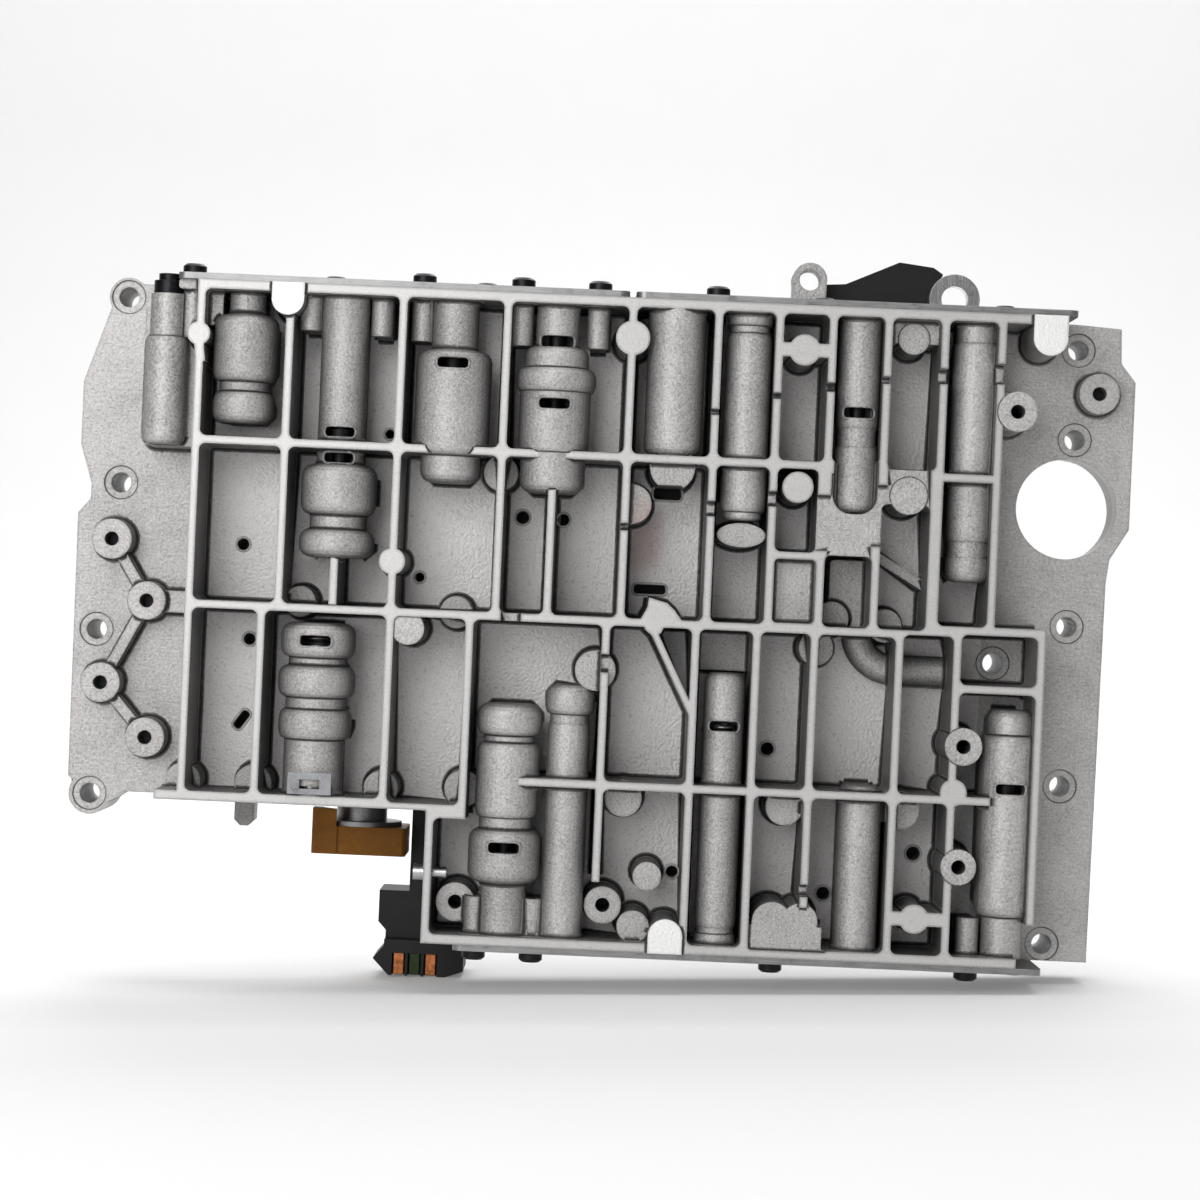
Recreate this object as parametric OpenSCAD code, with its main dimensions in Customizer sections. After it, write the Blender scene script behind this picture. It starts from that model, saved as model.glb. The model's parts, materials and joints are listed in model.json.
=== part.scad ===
// Valve body of an automatic gearbox: a ribbed front casting with fifteen spool valves, a separator
// plate, a rear casting with the selector valve, side covers, and a moulded conductor plate with solenoids.
// X runs along the body, Z along the valve bores and Y through the stack, the ribbed face towards -Y.
// Millimetres. Zero is the middle of the filter neck bore on the parting face of the front casting.

/* [Front casting] */
// Thickness of the flange plate, which is also the floor of the pockets
flange_t = 8; // [6:0.5:10]
// Right end of the flange, along X
flange_right = 173.5; // [172:0.5:178]
// Left end of the flange, along X
flange_left = -172.2; // [-177:0.2:-171]
// Height of the ribs above the floor
rib_h = 28; // [27:0.5:32]
// Thickness of a rib
rib_t = 2.5; // [2:0.1:3]
// Inside corner radius of the pockets
pocket_r = 2; // [1:0.25:2.5]
// Thickness of the walls along the valve openings
edge_wall_t = 3; // [2.5:0.25:4]
// Height of the flange bosses above the floor
boss_h = 9; // [7:0.5:12]

/* [Valves] */
// Height of the valve bore axes above the floor
bore_axis_h = 18.5; // [18:0.5:19.5]
// Running gap of a spool in its bore, on the radius
spool_gap = 0.08; // [0.05:0.01:0.1]
// Gap between a spool and the cover it is pushed against
seat_gap = 0.3; // [0.2:0.05:0.5]
// Fitted length of a valve spring
spring_l = 16; // [14:0.5:18]
// Wire diameter of a valve spring
wire_d = 1.1; // [0.8:0.1:1.4]

/* [Covers] */
// Thickness of a side cover
cover_t = 2; // [1.5:0.25:3]
// Thread diameter of a cover screw
screw_d = 4; // [3:0.5:4.5]
// Head diameter of a cover screw
screw_head_d = 7.6; // [6:0.2:8]
// Head height of a cover screw
screw_head_h = 3.4; // [2.5:0.2:4]
// Length of a cover screw under the head
screw_l = 13; // [9:0.5:14]

/* [Stack] */
// Thickness of the separator plate
plate_t = 1.6; // [1:0.2:2]
// Thickness of the rear casting
rear_t = 16; // [15:0.5:18]
// Thickness of the conductor plate
conductor_t = 4; // [3:0.5:5]

/* [Mounting] */
// Diameter of the holes for the gearbox bolts
bolt_hole_d = 6.6; // [5.5:0.1:7]
// Height of the pads round the bolt holes on the back
case_pad_h = 3; // [2:0.5:6]
// Diameter of the filter neck bore
filter_bore_d = 33; // [30:0.5:34]
// Thread diameter of the body screws
body_screw_d = 4.4; // [4:0.1:5]

/* [Solenoids] */
// Diameter of a solenoid can
can_d = 26; // [24:0.5:27]
// Height of a solenoid can above the rear casting
can_h = 30; // [26:1:34]
// Diameter of a solenoid nose
nose_d = 18; // [15:0.5:20]
// Diameter of the lockup solenoid coil
coil_d = 31; // [28:0.5:32]

/* [Hidden] */
$fn = 48;

// Levels along Y
floor_y = -flange_t;
rib_y = floor_y - rib_h;
axis_y = floor_y - bore_axis_h;
boss_y = floor_y - boss_h;
rear_y = plate_t + rear_t;
selector_y = plate_t + rear_t / 2;
conductor_y = rear_y + conductor_t;

// Edges of the ribbed block
top_z = 84.5;
bottom_z = -125;
step_z = -82.5;
step_x = -52.2;

// Rib centre lines: columns of the upper and lower half, then the rows
upper_cols = [-131, -102.4, -66.3, -32.8, 7.3, 34.8, 54.4, 71.5, 89.3, 107.5, 125.8];
lower_cols = [-131, -107.6, -66.3, -40.8, 3, 31.7, 51.3, 69.8, 97, 115.6, 142.5];
row_1 = 33.2;
row_2 = -19.5;
row_3 = -72;
under_top = top_z - edge_wall_t + rib_t / 2;
over_bottom = bottom_z + edge_wall_t - rib_t / 2;
over_step = step_z + edge_wall_t - rib_t / 2;

// Filter neck bore and bolt holes, all on the flange plate
filter_x = 152.4;
filter_z = 23.7;
right_x = flange_right - 19.2;
left_upper_x = flange_left + 13.7;
left_lower_x = flange_left + 7.7;
bolt_holes = [[right_x, 76], [right_x, 46.5], [right_x, -15], [right_x, -67.5], [150.6, -119.5],
  [130.5, -28], [left_upper_x, 80], [left_upper_x, 19], [left_lower_x, -29.5], [left_lower_x, -83.5]];

// Body screws: X, Z, level of the boss they end in, boss radius
body_screws_at = [[-159.4, 0.3, boss_y, 6.5], [-147.2, -19.4, boss_y, 6.2], [-161.2, -46.7, boss_y, 6.4],
  [-145.9, -64, boss_y, 6.4], [160.9, 61.6, boss_y + 3, 6.6], [131.6, 53.2, rib_y - 0.3, 6.4],
  [118.8, -54.7, rib_y - 0.3, 6], [118.8, -93.3, rib_y - 0.3, 5.7], [-42, -112.2, axis_y, 6.2],
  [5.6, -111.2, axis_y, 6]];

// Cover screws: X and Y on the top edge, then on the bottom edge
top_left_screws = [[-134.7, axis_y], [-91, floor_y / 2], [-60.4, axis_y], [-41, floor_y / 2],
  [-28.4, axis_y - 1], [-3.6, axis_y]];
top_right_screws = [[34.5, axis_y], [70.5, floor_y / 2], [130, floor_y / 2]];
bottom_screws = [[-35.4, axis_y], [-16.9, axis_y - 1], [60.5, axis_y], [123.6, axis_y], [142, floor_y / 2]];

// Valves: X, bore radius, open end, blind end, barrel sections [from Z, to Z, radius]
valves = [
  [-142.6, 4.2, 74, 34.6, [[31.4, 66, 7], [66, 79.8, 5.8]]],
  [-117.1, 4.2, top_z, 42, [[38.8, 49, 10], [49, 52.5, 8], [52.5, 74, 10.4], [74, 82, 5.8]]],
  [-85.2, 4.8, top_z, 0.5, [[-3, 6, 12.2], [6, 11, 9], [11, 27, 12.2], [27, 82, 7.6]]],
  [-49.7, 5.2, top_z, 26, [[22.8, 31.6, 9.6], [31.6, 65.5, 12.2], [65.5, 82, 7.4]]],
  [-16.7, 4.9, top_z, 24, [[20.8, 34, 10.4], [34, 53.5, 11.5], [53.5, 61, 13], [61, 68, 10.4],
    [68, 82, 7]]],
  [21.8, 6.6, top_z, 37.5, [[34.3, 82, 9.4]]],
  [45.2, 4.9, top_z, 18.6, [[14.6, 17.5, 6.2], [17.5, 75, 7.4], [75, 77.5, 6.4], [77.5, 82, 7.4]]],
  [81, 4.3, top_z, 22, [[18.8, 40, 7], [40, 46, 6.2], [46, 82, 6.8]]],
  [118.4, 5, top_z, 1.5, [[-2, 6, 7.1], [6, 11, 6.5], [11, 75, 7.2], [75, 82, 6.4]]],
  [-89.7, 6, -75, -27.6, [[-79.6, -61.5, 9.7], [-61.5, -52, 11.8], [-52, -48, 9.8], [-48, -38, 12.4],
    [-38, -35.2, 9.2], [-35.2, -24, 12]]],
  [-26.8, 5.2, bottom_z, -50.6, [[-122.5, -105, 7.5], [-105, -88, 11.7], [-88, -84, 8.6],
    [-84, -60, 10.2], [-60, -57.5, 8.1], [-57.5, -47.4, 10.6]]],
  [-7.6, 4.8, bottom_z, -43.6, [[-122.5, -53, 6.8], [-53, -50, 6.3], [-50, -40.4, 8.1]]],
  [42.1, 4.6, bottom_z, -37.6, [[-122.5, -118.5, 6.6], [-118.5, -116.5, 5.9], [-116.5, -34.4, 6.6]]],
  [87.2, 4.9, bottom_z, -72, [[-122.5, -68.8, 7.1]]],
  [134.6, 4.6, bottom_z, -45.8, [[-122.5, -109, 6.6], [-109, -50.8, 9.4], [-50.8, -42.4, 7.1]]]];

// Outer face of the keeper clip, which lies on the lower left barrel
clip_y = axis_y - valves[9][4][0][2] - 1.7;

// Windows cut from the front into the bores: valve number, Z, width, height
windows = [[3, 37.5, 9.5, 3.3], [3, 29.2, 9.5, 3.3], [4, 61, 10, 3.5], [5, 69.6, 10.6, 3.8],
  [5, 49.4, 10, 3.5], [8, 50.9, 9.6, 3.5], [10, -29.8, 10, 3.6], [11, -93.4, 10, 3.6],
  [13, -51.6, 9.4, 3.4], [15, -67.8, 9.5, 3.5]];

// Oil holes through the floor: X, Z, radius
oil_holes = [[-70.8, 38.6, 1.6], [-117.4, 0.4, 2], [-59, -7.9, 1.6], [-26, 13.2, 2.2], [-12.6, 13, 2],
  [-114, -30.6, 2], [57.6, -59.3, 2.2], [28, -101, 2], [78, -106, 2.2], [107, -91.6, 2.3]];

// Flat round pads on the ribs: X, Z, radius, depth below the rib tops
rib_pads = [[-131.5, 67, 3.7, 0], [7.5, 71.5, 5.5, 0], [62.6, 70, 5, 0], [-66.5, -3.3, 4.2, 0],
  [62.3, 26, 5, 0], [105.4, -110.5, 4.7, 0], [116.2, -69.5, 4.3, 0], [19.5, -101, 4.6, 6],
  [0, -35.5, 6.5, 4], [-60.5, -24.6, 5.2, 0.4], [10.8, -76.5, 6, 10], [62.9, -77, 6, 10],
  [100.5, -76.5, 6.2, 10], [60, -113.5, 6.4, 1], [69, -112.8, 5.6, 1], [15.6, -117.4, 5.2, 6],
  [98, 24.8, 6, 1.2], [98, 75.5, 5, 6]];

// Lower round bosses that straddle the ribs: X, Z, radius
low_bosses = [[-33.4, 27, 5.6], [-132.5, -77.2, 5.7], [-109.6, -77.2, 6], [-68, -77, 5.6], [-41.4, -76, 6],
  [71.4, -25.4, 5.6], [-96.8, -17.5, 5], [-46, -18.8, 5.2], [76, -15.6, 5.5], [93.4, -17.2, 5.4]];

// Half round bosses for cover screws: X, Z from, Z to
screw_bosses = [[-134.7, 66, 82], [-96.4, 70, 83], [-73.4, 69, 83], [-60.4, 68, 83], [-28.4, 68, 83],
  [-3.6, 68, 83], [-35.4, -124, -110], [-16.9, -124, -110], [123.6, -124, -110]];

// Solenoids that stand on the rear casting: X, Z
shift_at = [[-105, 40], [-62, 40], [-19, 40]];
pressure_at = [[28.5, -62], [71.5, -62]];
// Leaf springs press on the flanges of two solenoids each: X and Z of their bolts
leaf_bolts_at = [[-83.5, 40], [-40.5, 40], [50, -62]];
can_r = can_d / 2 - 3;
leaf_half = 21 - can_r;
lockup_x = -75.8;
selector_r = 4.2;
socket_r = 8.6;
// Contacts in the connector: X
contacts_x = [-61.7, -56.4, -51];

// Speed sensors on the conductor plate: X, Z
sensors_at = [[34, 44], [84, 6]];

// Check balls and dowels between the castings: X, Z
balls_at = [[-40, 6], [44, -30], [88, -40], [-84, -48]];
dowels_at = [[-140, 45], [141, -94]];
// Pockets in the back of the rear casting: X from, Z from, X to, Z to
rear_pockets = [[-118, -58, -103, -26], [-99, -58, -84, -26], [-118, -22, -103, 12], [-99, -22, -84, 12],
  [-60, -54, -41, -24], [-37, -54, -18, -24], [-14, -54, 2, -24], [-60, -20, -41, 12], [-37, -20, -18, 12],
  [-14, -20, 2, 12], [22, -34, 41, -8], [45, -34, 64, -8], [22, -4, 41, 20], [45, -4, 64, 20],
  [-154, 26, -132, 40], [-154, 52, -132, 74], [-156, -40, -132, -28], [-40, -106, -12, -90],
  [16, -118, 44, -92], [48, -118, 76, -92], [80, -118, 108, -92], [118, -50, 142, -38], [124, 64, 146, 80]];
ball_r = 2.75;
dowel_r = 3;
dowel_l = 10;
press_gap = 0.02;

// Draws a sketch made in X and Z as a slab between two levels of Y
module slab(back, front) {
  translate([0, back, 0])
    rotate([90, 0, 0])
      linear_extrude(back - front)
        children();
}

// Moves the part so that zero is the middle of the filter neck bore
module place() {
  translate([-filter_x, 0, -filter_z])
    children();
}

// Rectangle with rounded corners, from corner to corner
module round_rect(x0, z0, x1, z1, r) {
  translate([x0 + r, z0])
    square([x1 - x0 - 2 * r, z1 - z0]);
  translate([x0, z0 + r])
    square([x1 - x0, z1 - z0 - 2 * r]);
  for (x = [x0 + r, x1 - r], z = [z0 + r, z1 - r])
    translate([x, z])
      circle(r);
}

// Straight bar between two points
module bar(a, b, w) {
  d = b - a;
  translate(a)
    rotate(atan2(d[1], d[0]))
      translate([0, -w / 2])
        square([norm(d), w]);
}

// Pocket between four rib centre lines
module pocket(x0, z0, x1, z1) {
  round_rect(x0 + rib_t / 2, z0 + rib_t / 2, x1 - rib_t / 2, z1 - rib_t / 2, pocket_r);
}

// Outline shared by the front casting's flange, the separator plate and the rear casting, without its ears
module flange_sketch() {
  polygon([[-153, top_z], [153.7, top_z], [flange_right - 5.3, 83.6], [flange_right - 4.9, 72.3],
    [flange_right, 66.2], [flange_right - 0.1, 17.8], [flange_right - 6.1, 7.6], [flange_right - 7, 0],
    [flange_right - 8.1, bottom_z], [step_x, bottom_z], [step_x, step_z], [-153, step_z],
    [-158.6, -86.4], [left_lower_x, -84], [flange_left + 0.4, -78], [flange_left, 8.6],
    [flange_left + 4, 13.4], [flange_left + 4, 18.4], [flange_left, 31.2], [flange_left, 51.8],
    [left_upper_x - 5, 78]]);
}

// Plate of that outline with the two round ears on the left
module flange_plate(back, front) {
  slab(back, front)
    flange_sketch();
  slab(back, front)
    translate([left_upper_x, 80])
      circle(6.4);
  slab(back, front)
    translate([left_lower_x, -83.5])
      circle(6.9);
}

// Raised block that the pockets are cut into
module block_sketch() {
  translate([upper_cols[0] - rib_t / 2, row_2 - rib_t / 2])
    square([upper_cols[10] - upper_cols[0] + rib_t, top_z - row_2 + rib_t / 2]);
  translate([upper_cols[0] - rib_t / 2, step_z])
    square([95, row_2 - step_z]);
  translate([step_x, bottom_z])
    square([lower_cols[9] - step_x + rib_t / 2, row_2 - bottom_z]);
  translate([lower_cols[9] - rib_t / 2, -111])
    square([lower_cols[10] - lower_cols[9] + rib_t, 94.8]);
  translate([lower_cols[9] - rib_t / 2, bottom_z])
    square([24.2, 16]);
  translate([-139.5, step_z])
    square([10, edge_wall_t]);
  translate([120, top_z - edge_wall_t])
    square([18, edge_wall_t]);
}

// All pockets of the front casting
module pocket_sketch() {
  for (i = [0:7])
    pocket(upper_cols[i], row_1, upper_cols[i + 1], under_top);
  pocket(upper_cols[8], 31.8, upper_cols[9], under_top);
  pocket(upper_cols[9], -17.6, upper_cols[10], under_top);
  for (i = [0:2])
    pocket(upper_cols[i], row_2, upper_cols[i + 1], row_1);
  pocket(upper_cols[3], row_2, -16.3, row_1);
  pocket(-16.3, row_2, upper_cols[4], row_1);
  pocket(upper_cols[4], row_2, upper_cols[5], row_1);
  pocket(upper_cols[5], row_2, upper_cols[6], row_1);
  pocket(upper_cols[6], 4, 70, row_1);
  pocket(70.6, row_2, 88.2, 6);
  pocket(88.2, row_2, 106.2, 23.2);
  for (i = [0:1])
    pocket(lower_cols[i], over_step, lower_cols[i + 1], row_2);
  pocket(lower_cols[2], over_step - 1, lower_cols[3], row_2);
  pocket(lower_cols[3], over_bottom, lower_cols[4], row_2);
  pocket(step_x + rib_t / 2, over_bottom, 12, -83.5);
  pocket(lower_cols[4], row_3, lower_cols[5], row_2);
  pocket(lower_cols[4], over_bottom, lower_cols[5], row_3);
  pocket(lower_cols[5], over_bottom, lower_cols[6], row_2);
  pocket(lower_cols[6], row_3, lower_cols[7], row_2);
  pocket(lower_cols[6], over_bottom, lower_cols[7], row_3);
  pocket(lower_cols[7], row_3, lower_cols[8], row_2);
  pocket(lower_cols[7], over_bottom, lower_cols[8], row_3);
  pocket(lower_cols[8], row_3, lower_cols[9], -18.4);
  pocket(lower_cols[8], over_bottom, lower_cols[9], row_3);
  pocket(lower_cols[9], -36.2, lower_cols[10], -17.6);
  pocket(lower_cols[9], over_bottom, lower_cols[10], -36.2);
}

// Ribs and pads that stand inside the pockets, up to the rib tops
module inner_rib_sketch() {
  bar([-85, -18], [-85, 0], rib_t);
  bar([-16.3, 10], [-16.3, 22], rib_t);
  bar([lower_cols[4], -80], [lower_cols[4], -103], rib_t);
  bar([-40.8, -80], [-40.8, -84], rib_t);
  bar([18.2, -22.2], [32, -49], 2.1);
  bar([54, 70], [72, 70], 4.4);
  bar([96, -110.5], [116, -110.5], 4.4);
  bar([-131.5, 66], [-130.6, 58], 3);
  bar([lower_cols[3] + 14, row_3], [lower_cols[4], row_3], rib_t);
  bar([lower_cols[9], row_3], [lower_cols[9] + 12.5, row_3], rib_t);
  for (x = [41.5, 87.2])
    bar([x - 10, row_3], [x + 10, row_3], rib_t);
  bar([107, row_1 - 2], [126, row_1 - 2], rib_t);
  polygon([[13.5, -19], [15.8, -14.5], [16.2, -11.3], [22, -12.8], [24.5, -15], [27.5, -19]]);
  polygon([[14.6, -19], [15.4, -21.6], [18.4, -24], [20.6, -22.4], [22, -19]]);
}

// Round pads on the ribs and flat steps in the pockets, each at its own level
module rib_pads_and_steps() {
  for (p = rib_pads)
    slab(-1, rib_y + p[3])
      translate([p[0], p[1]])
        circle(p[2]);
  slab(-1, rib_y + 5)
    difference() {
      translate([9.4, 18.5])
        circle(6.4);
      translate([0, 8])
        square([7.3, 20]);
    }
  slab(-1, rib_y + 6.4)
    translate([90, 74])
      square([16, 9]);
  slab(-1, rib_y + 6.4)
    bar([14, -120], [22, -120], 6);
  slab(-1, rib_y + 1)
    bar([52, -118.8], [76, -118.8], 8.4);
  slab(-1, rib_y + 7)
    polygon([[-131, 70], [-127.5, 70.5], [-124.8, 74], [-124.8, 83], [-131, 83]]);
}

// Parts of the ribbed field that the casting leaves lower than the rib tops
module low_field_cuts() {
  slab(rib_y + 1.5, rib_y - 2)
    polygon([[68, 6], [72.5, 6], [72.5, 4], [86.5, 4], [86.5, 8], [90.5, 8], [90.5, 20], [104.8, 20],
      [104.8, 34], [91, 34], [91, 28], [87.6, 28], [87.6, 31], [73, 31], [73, 24], [68, 24]]);
  slab(rib_y + 6, rib_y - 2)
    round_rect(55.8, -17.6, 69.2, 3, 1.5);
  slab(axis_y - 4, rib_y - 2)
    round_rect(73.6, 18.2, 88, 40, 6);
  slab(rib_y + 1.1, rib_y - 2)
    round_rect(52.6, -122.6, 78, -108.4, 1);
}

// Machined clamping pads at the edges, one millimetre proud of the ribs
module clamp_pad_sketch() {
  for (p = [[-103.3, 79.2, 5.2], [141, 77, 5.5]]) {
    translate([p[0], p[1]])
      circle(p[2]);
    translate([p[0] - p[2], p[1]])
      square([2 * p[2], top_z - p[1]]);
  }
  translate([26, -119.4])
    circle(5.5);
  translate([20.5, bottom_z])
    square([11, -119.4 - bottom_z]);
}

// Rounded corner of a barrel as radius and Z, in small steps
function barrel_corner(r, z, depth, length, order, steps) =
  [for (i = order) [r - depth * (1 - sin(90 * i / steps)), z + length * (1 - cos(90 * i / steps))]];

// How deep a corner is rounded towards the section beside it, zero beside a wider one or at an open end
function corner_depth(r, beside, z) = beside > 0 ? max(0, 0.8 * (r - beside)) : abs(z) > 79 ? 0 : 0.35 * r;

// Points of one barrel section with its two corners
function barrel_section(k, before, after, steps) =
  let (length = min(0.45 * (k[1] - k[0]), 3.6), d0 = corner_depth(k[2], before, k[0]),
    d1 = corner_depth(k[2], after, k[1]))
  concat(d0 > 0 ? barrel_corner(k[2], k[0], d0, length, [0:steps], steps) : [[k[2], k[0]]],
    d1 > 0 ? barrel_corner(k[2], k[1], d1, -length, [steps:-1:0], steps) : [[k[2], k[1]]]);

// Outside of one barrel as radius and Z
function barrel_outline(s, steps) = let (n = len(s) - 1) concat([[0, s[0][0]]],
  [for (i = [0:n]) each barrel_section(s[i], i > 0 ? s[i - 1][2] : 0, i < n ? s[i + 1][2] : 0, steps)],
  [[0, s[n][1]]]);

// Keel under one barrel, a little narrower than the barrel
function keel_outline(s, k) =
  let (b = barrel_outline(s, 1), z0 = s[0][0] + 0.4, z1 = s[len(s) - 1][1] - 0.4,
    side = [for (p = b) if (p[0] > 0) [k * p[0], min(max(p[1], z0), z1)]], n = len(side))
  concat(side, [for (i = [n - 1:-1:0]) [-side[i][0], side[i][1]]]);

// Barrels round the valve bores, each with a keel down to the floor
module barrels() {
  for (v = valves) {
    translate([v[0], axis_y, 0])
      rotate_extrude()
        polygon(barrel_outline(v[4], 4));
    translate([v[0], 0, 0])
      slab(-1, axis_y)
        polygon(keel_outline(v[4], 0.88));
  }
}

// Bosses on the flange plate with the webs between them
module flange_bosses() {
  for (b = body_screws_at)
    slab(-1, b[2])
      translate([b[0], b[1]])
        circle(b[3]);
  slab(-1, boss_y + 2) {
    for (i = [0:2])
      let (a = body_screws_at[i], b = body_screws_at[i + 1])
        bar([a[0], a[1]], [b[0], b[1]], 3.2);
    bar([-147, -19.4], [-131, -19.4], 7);
  }
  slab(-1, rib_y + 0.4)
    bar([126, 53.2], [131.6, 53.2], 11.6);
}

// Block round the first barrel, outside the ribbed field
module first_barrel_block() {
  slab(-1, axis_y + 3)
    round_rect(-150.4, 31, -131, 79.8, 3);
  slab(-1, axis_y - 5)
    round_rect(-139, top_z - edge_wall_t, -129, top_z, 1);
}

// Cast oil pipe that bends from the middle rib to the right
module cast_pipe() {
  translate([97, floor_y - 3.6, -19.3])
    rotate([-90, 0, 180])
      rotate_extrude(angle = 90)
        translate([12.2, 0])
          circle(5);
  translate([96.9, floor_y - 3.6, -31.5])
    rotate([0, 90, 0])
      cylinder(r = 5, h = 18);
}

// Low features on the pocket floors
module floor_features() {
  slab(-1, floor_y - 12)
    for (b = low_bosses)
      translate([b[0], b[1]])
        circle(b[2]);
  slab(-1, floor_y - 10)
    bar([88, 6.4], [107, -4.6], 3);
  slab(-1, rib_y + 5)
    translate([45, 10])
      scale([2, 1])
        circle(3.9);
  slab(-1, rib_y + 3)
    translate([22, 30.6])
      circle(7.2);
  slab(-1, floor_y - 9)
    round_rect(75, -18, 88.6, 3.6, 1.5);
  slab(-1, floor_y - 6)
    round_rect(31, -34, 52, -19, 2);
  for (b = screw_bosses)
    translate([b[0], axis_y, b[1]])
      cylinder(r = 3.7, h = b[2] - b[1]);
  slab(-1, axis_y)
    for (b = screw_bosses)
      translate([b[0] - 2.6, b[1] + 0.5])
        square([5.2, b[2] - b[1] - 1]);
}

// Small breaks in the rib tops: X, Z, length along Z
module rib_breaks() {
  for (n = [[7.3, 11, 2.4], [34.8, 49, 2], [34.8, 18, 5], [54.4, 55, 2], [54.4, 22, 5], [71.5, 58.5, 3],
    [89.3, 61.5, 2.4], [107.5, 63.5, 5], [125.8, 65, 6.6], [69.8, -103, 4]])
    translate([n[0] - 2, rib_y - 2, n[1] - n[2] / 2])
      cube([4, 8, n[2]]);
  translate([lower_cols[4] - 2, rib_y - 2, -36])
    cube([4, 5.9, 6]);
  translate([-31, rib_y - 2, row_2 - 3])
    cube([6.5, 7, 6]);
}

// Threaded holes for the cover screws, from both edges
module cover_screw_holes() {
  for (s = concat(top_left_screws, top_right_screws))
    translate([s[0], s[1], top_z - screw_l + cover_t - 1])
      cylinder(d = screw_d + 0.2, h = screw_l + 2);
  for (s = bottom_screws)
    translate([s[0], s[1], bottom_z - 1])
      cylinder(d = screw_d + 0.2, h = screw_l - cover_t + 2);
}

module front_casting() {
  color([0.72, 0.72, 0.71])
    place()
      difference() {
        union() {
          flange_plate(0, floor_y);
          difference() {
            slab(-1, rib_y)
              block_sketch();
            slab(floor_y, rib_y - 2)
              pocket_sketch();
            low_field_cuts();
          }
          rib_pads_and_steps();
          slab(-1, rib_y)
            inner_rib_sketch();
          slab(-1, rib_y - 1)
            clamp_pad_sketch();
          barrels();
          first_barrel_block();
          flange_bosses();
          floor_features();
          cast_pipe();
        }
        front_cuts();
      }
}

// Bores, windows, holes and breaks of the front casting
module front_cuts() {
  for (v = valves)
    translate([v[0], axis_y, min(v[2], v[3]) - (v[2] < v[3] ? 1 : 0)])
      cylinder(r = v[1], h = abs(v[2] - v[3]) + 1);
  translate([valves[9][0], axis_y, step_z - 1])
    cylinder(r = valves[9][1], h = 12);
  translate([valves[0][0], axis_y, valves[0][2] - 1])
    cylinder(r = valves[0][1], h = 8);
  translate([valves[0][0], axis_y, 79.8])
    cylinder(r = 5.4, h = 8);
  slab(axis_y, rib_y - 6)
    for (w = windows)
      translate([valves[w[0] - 1][0], w[1]])
        round_rect(-w[2] / 2, -w[3] / 2, w[2] / 2, w[3] / 2, 1.2);
  slab(1, rib_y - 2) {
    oil_sketch();
    for (h = bolt_holes)
      translate(h)
        circle(d = bolt_hole_d);
    translate([filter_x, filter_z])
      circle(d = filter_bore_d, $fn = 96);
  }
  slab(floor_y + 0.5, floor_y - 1)
    for (h = bolt_holes)
      translate(h)
        circle(5.6);
  for (b = body_screws_at)
    slab(1, b[2] - 1)
      translate([b[0], b[1]])
        circle(d = body_screw_d + 0.2);
  for (d = dowels_at)
    slab(1, -dowel_l / 2 - 0.2)
      translate(d)
        circle(dowel_r + press_gap);
  keeper_slot(0.15);
  rib_breaks();
  cover_screw_holes();
  translate([step_x - 1, axis_y, -103])
    rotate([0, 90, 0])
      cylinder(r = 2.1, h = 9);
}

// Oil holes and slots, which run on through the separator plate
module oil_sketch() {
  round_rect(16.6, 21, 25.8, 25, 1.2);
  round_rect(11.4, -10.2, 22, -7, 1.2);
  translate([-115.5, -57.2])
    rotate(-35)
      round_rect(-1.5, -3.4, 1.5, 3.4, 1.2);
  for (h = oil_holes)
    translate([h[0], h[1]])
      circle(h[2]);
}

// Slot for the keeper clip across the lower left barrel
module keeper_slot(gap) {
  translate([valves[9][0] - 7 - gap, clip_y, -79 - gap])
    cube([14 + 2 * gap, axis_y + 11 - clip_y, 2.4 + 2 * gap]);
}

module separator_plate() {
  color([0.55, 0.56, 0.57])
    place()
      difference() {
        union()
          flange_plate(plate_t, 0);
        slab(plate_t + 1, -1)
          stack_holes();
        slab(plate_t + 1, -1)
          oil_sketch();
        slab(plate_t + 1, -1)
          for (d = dowels_at)
            translate(d)
              circle(dowel_r + 0.2);
      }
}

// Clearance holes through the separator plate and the rear casting
module stack_holes() {
  for (h = bolt_holes)
    translate(h)
      circle(d = bolt_hole_d);
  for (b = body_screws_at)
    translate([b[0], b[1]])
      circle(d = body_screw_d + 0.6);
  translate([filter_x, filter_z])
    circle(d = filter_bore_d + 2, $fn = 96);
}

module rear_casting() {
  color([0.68, 0.68, 0.67])
    place()
      difference() {
        union() {
          flange_plate(rear_y, plate_t);
          slab(rear_y + case_pad_h, plate_t)
            for (h = bolt_holes)
              translate(h)
                circle(bolt_hole_d / 2 + 3);
          slab(selector_y + 5, selector_y - 5)
            rear_lug_sketch();
        }
        rear_cuts();
      }
}

// Lugs of the rear casting that stand past the outline
module rear_lug_sketch() {
  translate([65.8, 96.7])
    circle(5.8);
  translate([60.2, 80])
    square([11.2, 16.7]);
  polygon([[55, 80], [62, 80], [62, 95]]);
  polygon([[-118, -80], [-118, -91], [-116, -93], [-113.4, -93], [-111.4, -91], [-111.4, -80]]);
}

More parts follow.
